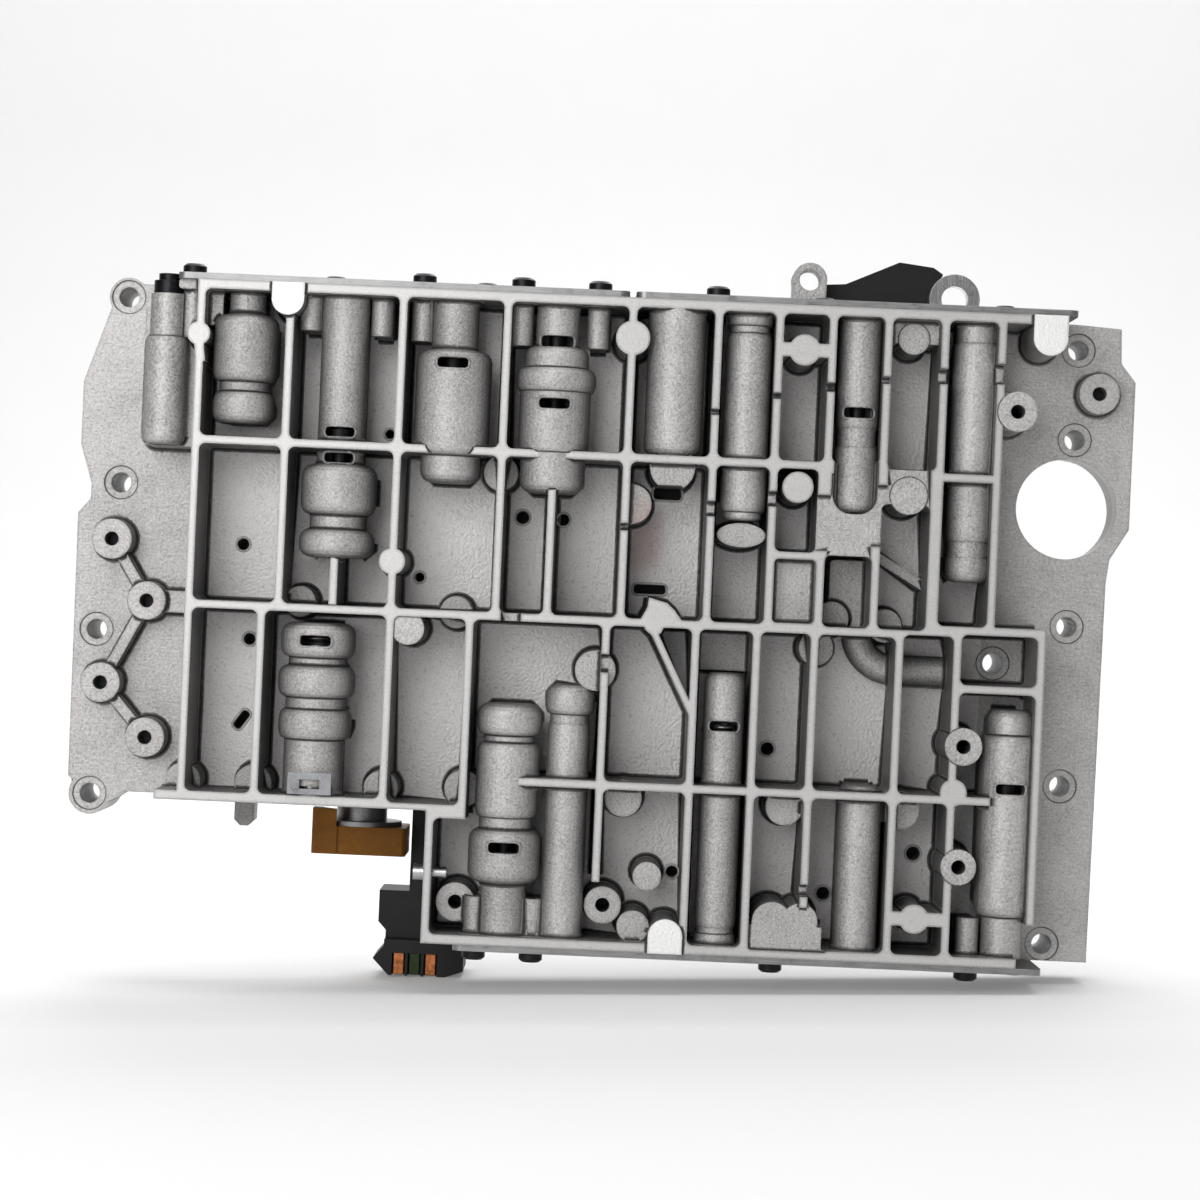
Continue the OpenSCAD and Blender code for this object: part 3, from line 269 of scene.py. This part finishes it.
plasticLooks = {
    "blackPlastic": {"dark": (0.004, 0.004, 0.004), "pale": (0.013, 0.013, 0.014),
                     "rough": (0.42, 0.58), "grain": 0.5, "shine": 0.28},
    "amberPlastic": {"dark": (0.120, 0.046, 0.005), "pale": (0.270, 0.108, 0.011),
                     "rough": (0.40, 0.52), "grain": 0.7, "shine": 0.12},
}
plasticSkin = {"flow": 12, "draw": (0.4, 1, 1), "dust": 5, "ofFlow": 0.7, "ofGrain": 0.3, "ofDust": 0.3, "dusty": 1.5,
               "depth": 0.05, "strength": 0.4, "edge": 0.35}


def plastic(name, look, skin):
    f = Finish(name)
    grain = f.noise(look["grain"], 3, 0.6)
    flow = f.noise(skin["flow"], 2, 0.5, f.stretched(*skin["draw"]))
    dust = f.span(f.noise(skin["dust"], 4, 0.7), 0.55, 0.8)
    tone = f.spread(flow) * skin["ofFlow"] + f.spread(grain) * skin["ofGrain"]
    colour = f.mix(tone, look["dark"], look["pale"])
    colour = f.mix(dust * skin["ofDust"], colour, tuple(skin["dusty"] * c for c in look["pale"]))
    rough = f.spread(grain, *look["rough"])
    bump = f.relief(grain, skin["depth"], skin["strength"], f.rounded(skin["edge"]))
    return f.done(Base_Color=colour, Roughness=rough, Normal=bump, Specular_IOR_Level=look["shine"])


copperLook = {"bright": (0.600, 0.220, 0.080), "dull": (0.330, 0.110, 0.040), "green": (0.015, 0.045, 0.024),
              "middle": -208.8, "half": 2.4, "cloud": 1.6, "fine": 0.25, "ofGreen": 0.6, "ofMiddle": 0.95,
              "rough": (0.25, 0.42), "depth": 0.02, "strength": 0.3, "edge": 0.15}


def copper(name, look):
    f = Finish(name)
    cloud = f.noise(look["cloud"])
    fine = f.noise(look["fine"], 2)
    colour = f.mix(f.span(cloud, 0.35, 0.65), look["bright"], look["dull"])
    middle = abs(f.x - look["middle"] * mm) < look["half"] * mm  # the contact in the middle has gone green
    tarnish = f.span(cloud, 0.62, 0.75) * look["ofGreen"] + middle * look["ofMiddle"]
    colour = f.mix(tarnish, colour, look["green"])
    rough = f.spread(fine, *look["rough"])
    bump = f.relief(fine, look["depth"], look["strength"], f.rounded(look["edge"]))
    return f.done(Base_Color=colour, Metallic=1.0, Roughness=rough, Normal=bump)


rearLook = {**castLook, "floor": 40, "rim": 10, "wallShade": 0.4}
castFront = castAluminium("cast_aluminium_front", castLook, flangeLook, stainLook, milledLook)
castRear = castAluminium("cast_aluminium_rear", rearLook, holeShade=holeShadeLook)
castRoots = castAluminium("cast_aluminium_roots", castLook, roots=True)
steels = {name: steel(name, look, steelSkin) for name, look in steelLooks.items()}
plastics = {name: plastic(name, look, plasticSkin) for name, look in plasticLooks.items()}
copperFinish = copper("copper_contacts", copperLook)
finishes = [castFront, castRear, castRoots, copperFinish, *steels.values(), *plastics.values()]
print("finishes:", len(finishes))

finishOf = {
    "front_casting": castFront, "rear_casting": castRear, "separator_plate": steels["plateSteel"],
    "top_cover_left": steels["coverSteel"], "top_cover_right": steels["coverSteel"],
    "bottom_cover": steels["coverSteel"], "cover_screws": steels["blackSteel"],
    "body_screws": steels["blackSteel"], "end_plug": steels["brightSteel"],
    "bore_plug": steels["blackSteel"], "keeper_clip": steels["springSteel"], "selector_valve": steels["brightSteel"],
    "check_balls": steels["brightSteel"], "dowel_pins": steels["brightSteel"],
    "conductor_plate": plastics["blackPlastic"], "connector_contacts": copperFinish,
    "lockup_solenoid": steels["plateSteel"], "lockup_coil": plastics["amberPlastic"],
    "leaf_springs": steels["springSteel"], "leaf_bolts": steels["blackSteel"],
    "speed_sensor_a": plastics["blackPlastic"], "speed_sensor_b": plastics["blackPlastic"],
    "gallery_plug": steels["brightSteel"],
}


def dressNode(name, finish):
    slots = nodes[name].data.materials
    if not slots:
        slots.append(finish)
    for k in range(len(slots)):
        slots[k] = finish


for name in nodes:
    if name in finishOf:
        dressNode(name, finishOf[name])
    elif name.startswith("spring"):
        dressNode(name, steels["springSteel"])
    elif name.startswith("spool"):
        dressNode(name, steels["spoolSteel"])
    else:
        dressNode(name, steels["canSteel"])  # the solenoids on the back
print("nodes dressed:", len(nodes))


def addPiece(name, points, faces, finish, body):
    mesh = bpy.data.meshes.new(name)
    mesh.from_pydata([tuple(p) for p in points], [], faces)
    mesh.shade_smooth()
    mesh.materials.append(finish)
    made = bpy.data.objects.new(name, mesh)
    scene.collection.objects.link(made)
    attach(made, body)
    return made


# angles in degrees, lengths in millimetres; "from" is where a corner has to be seen from to get its fillet
filletLook = {
    "front": {"node": "front_casting", "radius": 1.5,
              "from": [(0, -1, 0), (0.5, -0.86, 0), (-0.5, -0.86, 0), (0, -0.86, 0.5), (0, -0.86, -0.5)]},
    "rear": {"node": "rear_casting", "radius": 1.2, "from": [(0, 1, 0), (0.5, 0.86, 0), (-0.5, 0.86, 0)]},
    "sharpest": 28, "shortest": 0.03, "merge": 0.002, "lift": 0.4, "narrow": 24, "widest": 1.5, "touch": 0.14,
    "draws": (1, 0.7, 0.45, 0.25, 0.02), "gone": 0.1, "steps": 4, "crease": 40,
    "bores": 15, "around": 0.3, "beyond": 0.5,
}


def innerCorners(shape, shared):  # edges where two faces close up to each other, with the way into each face
    found = {}
    for edge in shape.edges:
        if len(edge.link_faces) != 2 or edge.calc_length() < shared["shortest"] * mm:
            continue
        one, two = edge.link_faces
        if one.normal.length < 0.5 or two.normal.length < 0.5:  # slivers have no normal
            continue
        if one.normal.angle(two.normal) < math.radians(shared["sharpest"]):
            continue
        a, b = edge.verts
        along = (b.co - a.co).normalized()
        ways = []
        for face in (one, two):
            tip = next(v for v in face.verts if v not in (a, b))
            way = tip.co - a.co
            way = way - along * way.dot(along)
            ways.append(way.normalized())
        if ways[1].dot(one.normal) > 0.05 and ways[0].dot(two.normal) > 0.05:
            found[edge] = ways
    return found


def boresOf(shared):  # room of each spool and its spring, which stays free of fillets
    bores = []
    for k in range(1, shared["bores"] + 1):
        low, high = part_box(f"spool_{k:02d}")
        springLow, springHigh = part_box(f"spring_{k:02d}")
        around, beyond = shared["around"] * mm, shared["beyond"] * mm
        bores.append(((low[0] + high[0]) / 2, (low[1] + high[1]) / 2, (high[0] - low[0]) / 2 + around,
                      min(low[2], springLow[2]) - beyond, max(high[2], springHigh[2]) + beyond))
    return bores


def seenCorners(shape, tree, look, shared):  # the inner corners that a fillet is made for
    views = [Vector(v).normalized() for v in look["from"]]
    bores = boresOf(shared)
    seen = {}
    for edge, ways in innerCorners(shape, shared).items():
        heart = (edge.verts[0].co + edge.verts[1].co) / 2
        if any(math.hypot(heart.x - x, heart.y - y) < r and low < heart.z < high for x, y, r, low, high in bores):
            continue
        lifted = heart + (ways[0] + ways[1]).normalized() * shared["lift"] * mm
        if any(tree.ray_cast(lifted, v)[0] is None for v in views):
            seen[edge] = ways
    return seen


def runsOf(found):  # joins inner corners end to end where they run on smoothly
    at = {}
    for edge in found:
        for v in edge.verts:
            at.setdefault(v, []).append(edge)

    def follow(edge, v):
        others = [e for e in at[v] if e is not edge]
        if len(others) != 1:
            return None
        here = (v.co - edge.other_vert(v).co).normalized()
        there = (others[0].other_vert(v).co - v.co).normalized()
        return others[0] if here.dot(there) > 0.6 else None

    used, runs = set(), []
    for first in found:
        if first in used:
            continue
        used.add(first)
        run = [first]
        ends = list(first.verts)
        for side in (1, 0):
            while True:
                last = run[-1] if side else run[0]
                after = follow(last, ends[side])
                if after is None or after in used:
                    break
                used.add(after)
                ends[side] = after.other_vert(ends[side])
                run.insert(len(run) if side else 0, after)
        runs.append((ends[0], run))
    return runs


def waysAlong(run, seen):  # keeps the two sides in order along the run
    ways = [seen[run[0]]]
    for edge in run[1:]:
        one, two = seen[edge]
        before = ways[-1]
        straight = one.dot(before[0]) + two.dot(before[1])
        crossed = one.dot(before[1]) + two.dot(before[0])
        ways.append([one, two] if straight >= crossed else [two, one])
    return ways


def filletRows(line, ways, closed, tree, look, shared):  # at each point of a run, where the fillet meets its two faces
    rows = []
    for k, v in enumerate(line):
        near = [ways[j] for j in (k - 1, k) if 0 <= j < len(ways)]
        if closed and k in (0, len(line) - 1):
            near = [ways[-1], ways[0]]
        one = sum((w[0] for w in near), Vector()).normalized()
        two = sum((w[1] for w in near), Vector()).normalized()
        half = max(math.radians(shared["narrow"]), one.angle(two, math.pi / 2) / 2)
        back = min(look["radius"] / math.tan(half), shared["widest"] * look["radius"]) * mm
        for share in shared["draws"]:  # draws in where a face is too narrow for it
            ends = (v.co + one * back * share, v.co + two * back * share)
            if all(tree.find_nearest(p)[3] < shared["touch"] * mm for p in ends):
                break
        rows.append((v.co.copy(), ends, share))
    return rows


def filletRuns(look, shared, piece, finish, body):
    shape = bmesh.new()
    shape.from_mesh(nodes[look["node"]].data)
    bmesh.ops.remove_doubles(shape, verts=shape.verts, dist=shared["merge"] * mm)
    shape.normal_update()
    tree = BVHTree.FromBMesh(shape)
    seen = seenCorners(shape, tree, look, shared)
    steps, gone = shared["steps"], shared["gone"]
    ring = steps + 2
    points, faces, corner_shade = [], [], []
    for start, run in runsOf(seen):
        line = [start]
        for edge in run:
            line.append(edge.other_vert(line[-1]))
        closed = line[0] is line[-1] and len(run) > 2
        rows = filletRows(line, waysAlong(run, seen), closed, tree, look, shared)
        base = len(points)
        # each fillet row carries its painted corner shade, strongest at the corner itself
        for corner, ends, _ in rows:
            for s in range(steps + 1):
                t = s / steps
                points.append(ends[0] * (1 - t) ** 2 + corner * 2 * t * (1 - t) + ends[1] * t ** 2)
                corner_shade.append(1 - abs(2 * t - 1))
            points.append(corner)
            corner_shade.append(1.0)
        for k in range(len(rows) - 1):
            if rows[k][2] < gone and rows[k + 1][2] < gone:
                continue
            p, q = base + k * ring, base + (k + 1) * ring
            for s in range(ring):
                n = (s + 1) % ring
                faces.append((p + s, q + s, q + n, p + n))
        if not closed:
            for k in (0, len(rows) - 1):
                if rows[k][2] >= gone:
                    faces.append(tuple(base + k * ring + s for s in range(ring)))
    shape.free()
    made = addPiece(piece, points, faces, finish, body)
    made.data.attributes.new("corner_shade", "FLOAT", "POINT").data.foreach_set("value", corner_shade)
    turned = bmesh.new()
    turned.from_mesh(made.data)
    bmesh.ops.recalc_face_normals(turned, faces=turned.faces)
    loose = [v for v in turned.verts if not v.link_faces]
    bmesh.ops.delete(turned, geom=loose, context="VERTS")
    turned.to_mesh(made.data)
    turned.free()
    made.data.set_sharp_from_angle(angle=math.radians(shared["crease"]))
    print(piece + ":", len(faces), "faces along", len(seen), "inner corners")


filletRuns(filletLook["front"], filletLook, "front_casting_fillets", castRoots, "valve_body")
filletRuns(filletLook["rear"], filletLook, "rear_casting_fillets", castRoots, "valve_body")


# millimetres from the zero of the part's drawing
rimLook = {
    "zero": (152.4, 23.7), "axis": -26.5, "floor": -8, "tube": 0.42, "sides": 8, "clear": 0.25,
    "corner": 1.5, "slotCorner": 1.4, "cornerSteps": 4, "holeSteps": 24,
    "windows": [(-85.2, 37.5, 9.5, 3.3, 7.6), (-85.2, 29.2, 9.5, 3.3, 7.6), (-49.7, 61, 10, 3.5, 12.2),
                (-16.7, 69.6, 10.6, 3.8, 7), (-16.7, 49.4, 10, 3.5, 11.5), (81, 50.9, 9.6, 3.5, 6.8),
                (-89.7, -29.8, 10, 3.6, 12), (-26.8, -93.4, 10, 3.6, 11.7), (42.1, -51.6, 9.4, 3.4, 6.6),
                (134.6, -67.8, 9.5, 3.5, 9.4)],  # middle, width, height, radius of the barrel
    "holes": [(-70.8, 38.6, 1.6), (-117.4, 0.4, 2), (-59, -7.9, 1.6), (-26, 13.2, 2.2), (-12.6, 13, 2),
              (-114, -30.6, 2), (57.6, -59.3, 2.2), (28, -101, 2), (78, -106, 2.2), (107, -91.6, 2.3)],
    "slots": [(21.2, 23, 9.2, 4, 0), (16.7, -8.6, 10.6, 3.2, 0), (-115.5, -57.2, 3, 6.8, -35)],  # with their turn
}


def roundedLoop(width, high, corner, steps, turn=0.0):  # points round a window or slot with rounded corners
    loop = []
    for k, (sx, sz) in enumerate(((1, 1), (-1, 1), (-1, -1), (1, -1))):
        for s in range(steps + 1):
            a = math.radians(90 * k + 90 * s / steps)
            loop.append((sx * (width / 2 - corner) + corner * math.cos(a),
                         sz * (high / 2 - corner) + corner * math.sin(a)))
    c, n = math.cos(math.radians(turn)), math.sin(math.radians(turn))
    return [(x * c - z * n, x * n + z * c) for x, z in loop]


def rimLoops(look):  # middle lines of the rims
    loops = []
    wider, steps = 2 * look["clear"], look["cornerSteps"]
    for x, z, width, high, radius in look["windows"]:
        ring = roundedLoop(width + wider, high + wider, look["corner"], steps)
        loops.append([(x + a, look["axis"] - math.sqrt(radius ** 2 - a ** 2), z + b) for a, b in ring])
    for x, z, radius in look["holes"]:
        r = radius + look["clear"]
        ring = [math.radians(360 / look["holeSteps"] * k) for k in range(look["holeSteps"])]
        loops.append([(x + r * math.cos(a), look["floor"], z + r * math.sin(a)) for a in ring])
    for x, z, width, high, turn in look["slots"]:
        ring = roundedLoop(width + wider, high + wider, look["slotCorner"], steps, turn)
        loops.append([(x + a, look["floor"], z + b) for a, b in ring])
    return loops


def castRims(look, finish):  # low rounded rims that the casting leaves round its windows and oil holes
    points, faces = [], []
    sides, out = look["sides"], Vector((0, -1, 0))
    zeroX, zeroZ = look["zero"]
    loops = rimLoops(look)
    for loop in loops:
        line = [Vector(((x - zeroX) * mm, y * mm, (z - zeroZ) * mm)) for x, y, z in loop]
        base, count = len(points), len(line)
        for k, p in enumerate(line):
            along = (line[(k + 1) % count] - line[k - 1]).normalized()
            side = along.cross(out).normalized()
            for s in range(sides):
                a = math.tau * s / sides
                points.append(p + (side * math.cos(a) + out * math.sin(a)) * look["tube"] * mm)
        for k in range(count):
            p, q = base + k * sides, base + (k + 1) % count * sides
            for s in range(sides):
                n = (s + 1) % sides
                faces.append((p + s, p + n, q + n, q + s))
    addPiece("window_rims", points, faces, finish, "valve_body")
    print("window_rims:", len(loops), "rims")


castRims(rimLook, castFront)


# wire radius in millimetres, shut turns at each end and open turns between; "pile" is a shut turn's rise in wire radii
springLook = {"count": 15, "wire": 0.55, "shut": 1, "open": 4.5, "pile": 2.06, "steps": 28, "sides": 10}


def coilSpring(name, joint, look, finish):  # coil in the place of its node
    low, high = (Vector(corner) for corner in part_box(name))
    middle = (low + high) / 2
    wire, shut, opened = look["wire"] * mm, look["shut"], look["open"]
    across = (high.x - low.x) / 2 - wire
    start, rise = low.z + wire, high.z - low.z - 2 * wire
    turns = opened + 2 * shut
    shutRise = shut * look["pile"] * wire
    points, faces = [], []
    count, sides = round(turns * look["steps"]), look["sides"]
    for k in range(count + 1):
        t = turns * k / count
        ends = min(t, shut) + max(0, t - shut - opened)  # shut turns so far
        share = min(max(t - shut, 0), opened) / opened
        z = start + ends / shut * shutRise + share * (rise - 2 * shutRise)
        a = math.tau * t
        for s in range(sides):
            b = math.tau * s / sides
            r = across + wire * math.cos(b)
            points.append((middle.x + r * math.cos(a), middle.y + r * math.sin(a), z + wire * math.sin(b)))
    for k in range(count):
        p, q = k * sides, (k + 1) * sides
        for s in range(sides):
            n = (s + 1) % sides
            faces.append((p + s, q + s, q + n, p + n))
    faces.append(tuple(range(sides)))
    faces.append(tuple(count * sides + s for s in reversed(range(sides))))
    made = addPiece(name + "_coil", points, faces, finish, "valve_body")
    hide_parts(name)
    stroke = max(abs(v) for v in joint["range_m"])
    1 - stroke / (high.z - low.z)
    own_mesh(made)


slides = {joint["name"]: joint for joint in frame["joints"]}
for k in range(1, springLook["count"] + 1):
    coilSpring(f"spring_{k:02d}", slides[f"spool_{k:02d}_slide"], springLook, steels["springSteel"])
print("springs:", springLook["count"])

cameraLook = {"place": (-0.15184, -1.036, -0.0365), "up": (-0.0436, 0, 0.99905), "lens": 93.75, "sensor": 36,
              "clip": (0.01, 30)}


def makeCamera(look):
    made = bpy.data.objects.new("photo_camera", bpy.data.cameras.new("photo_camera"))
    made.data.lens, made.data.sensor_width = look["lens"], look["sensor"]
    made.data.clip_start, made.data.clip_end = look["clip"]
    ahead, up = Vector((0, 1, 0)), Vector(look["up"]).normalized()
    right = ahead.cross(up)
    turn = Matrix((right, up, -ahead)).transposed().to_4x4()
    made.matrix_world = Matrix.Translation(look["place"]) @ turn
    scene.collection.objects.link(made)
    scene.camera = made


makeCamera(cameraLook)

# metres; "touch" is a point of the floor, and the floor behind the camera glows from dim[0] to dim[1] along Y
studio = {"touch": (-0.1924, 0, -0.16495), "up": (-0.0436, 0, 0.99905), "wide": 3.2, "front": -2.6, "back": 0.95,
          "bend": 0.6, "bendSteps": 12, "tall": 2.4, "white": (0.69, 0.69, 0.69), "fibre": 60, "shade": 0.98,
          "rough": 0.9, "shine": 0.1, "glow": 0.55, "near": (0.245, 0.245, 0.245), "dim": (-0.8, -1.9)}


def paper(name, look):
    f = Finish(name)
    tone = f.mix(f.noise(look["fibre"], 2), look["white"], tuple(look["shade"] * c for c in look["white"]))
    far = f.span(f.y, *look["dim"])  # out of the lamps' reach
    glow = f.mix(far, look["near"], (1, 1, 1))
    return f.done(Base_Color=tone, Roughness=look["rough"], Specular_IOR_Level=look["shine"],
                  Emission_Color=glow, Emission_Strength=look["glow"])


def makeSweep(look):  # pale floor that bends up into the backdrop
    up = Vector(look["up"]).normalized()
    right = Vector((0, 1, 0)).cross(up)
    profile = [(look["front"], 0.0), (look["back"], 0.0)]
    for k in range(1, look["bendSteps"] + 1):
        turn = math.radians(90 * k / look["bendSteps"])
        profile.append((look["back"] + look["bend"] * math.sin(turn), look["bend"] * (1 - math.cos(turn))))
    profile.append((look["back"] + look["bend"], look["tall"]))
    middle = Vector(look["touch"])
    points, faces = [], []
    for y, high in profile:
        for side in (-1, 1):
            points.append(tuple(middle + right * side * look["wide"] + Vector((0, y, 0)) + up * high))
    for k in range(len(profile) - 1):
        faces.append((2 * k, 2 * k + 1, 2 * k + 3, 2 * k + 2))
    mesh = bpy.data.meshes.new("studio_sweep")
    mesh.from_pydata(points, [], faces)
    mesh.shade_smooth()
    mesh.materials.append(paper("studio_paper", look))
    made = bpy.data.objects.new("studio_sweep", mesh)
    scene.collection.objects.link(made)


makeSweep(studio)

lamps = {
    "front_softbox": {"place": (-0.62, -1.12, 0.30), "aim": (-0.18, 0, -0.02), "size": (0.8, 0.8), "power": 7.6},
    "top_softbox": {"place": (-0.25, -0.15, 1.00), "aim": (-0.15, 0.1, 0), "size": (1.0, 0.5), "power": 7},
    "rear_softbox": {"place": (-0.15, 0.85, 0.95), "aim": (-0.15, 0, 0), "size": (1.0, 0.6), "power": 9},
    "back_wash": {"place": (-0.15, 0.35, 1.30), "aim": (-0.15, 1.5, 0.60), "size": (2.2, 0.5), "power": 17},
}


def makeLamp(name, look):
    data = bpy.data.lights.new(name, "AREA")
    data.shape, data.energy = "RECTANGLE", look["power"]
    data.size, data.size_y = look["size"]
    made = bpy.data.objects.new(name, data)
    way = Vector(look["aim"]) - Vector(look["place"])
    made.matrix_world = Matrix.Translation(look["place"]) @ way.to_track_quat("-Z", "Y").to_matrix().to_4x4()
    made.visible_camera = False
    scene.collection.objects.link(made)


for name, look in lamps.items():
    makeLamp(name, look)

airLook = {"seen": 0.92, "lit": 0.27}  # the air looks pale but gives little light


def makeAir(look):
    sky = bpy.data.worlds.new("studio_air")
    sky.use_nodes = True
    tree = sky.node_tree
    glow = tree.nodes["Background"]
    glow.inputs[0].default_value = (1, 1, 1, 1)
    path = tree.nodes.new("ShaderNodeLightPath")
    share = tree.nodes.new("ShaderNodeMapRange")
    share.inputs["To Min"].default_value, share.inputs["To Max"].default_value = look["lit"], look["seen"]
    tree.links.new(path.outputs["Is Camera Ray"], share.inputs["Value"])
    tree.links.new(share.outputs[0], glow.inputs[1])
    scene.world = sky


makeAir(airLook)
scene.view_settings.view_transform = "Standard"
print("camera, floor and", len(lamps), "lamps set")
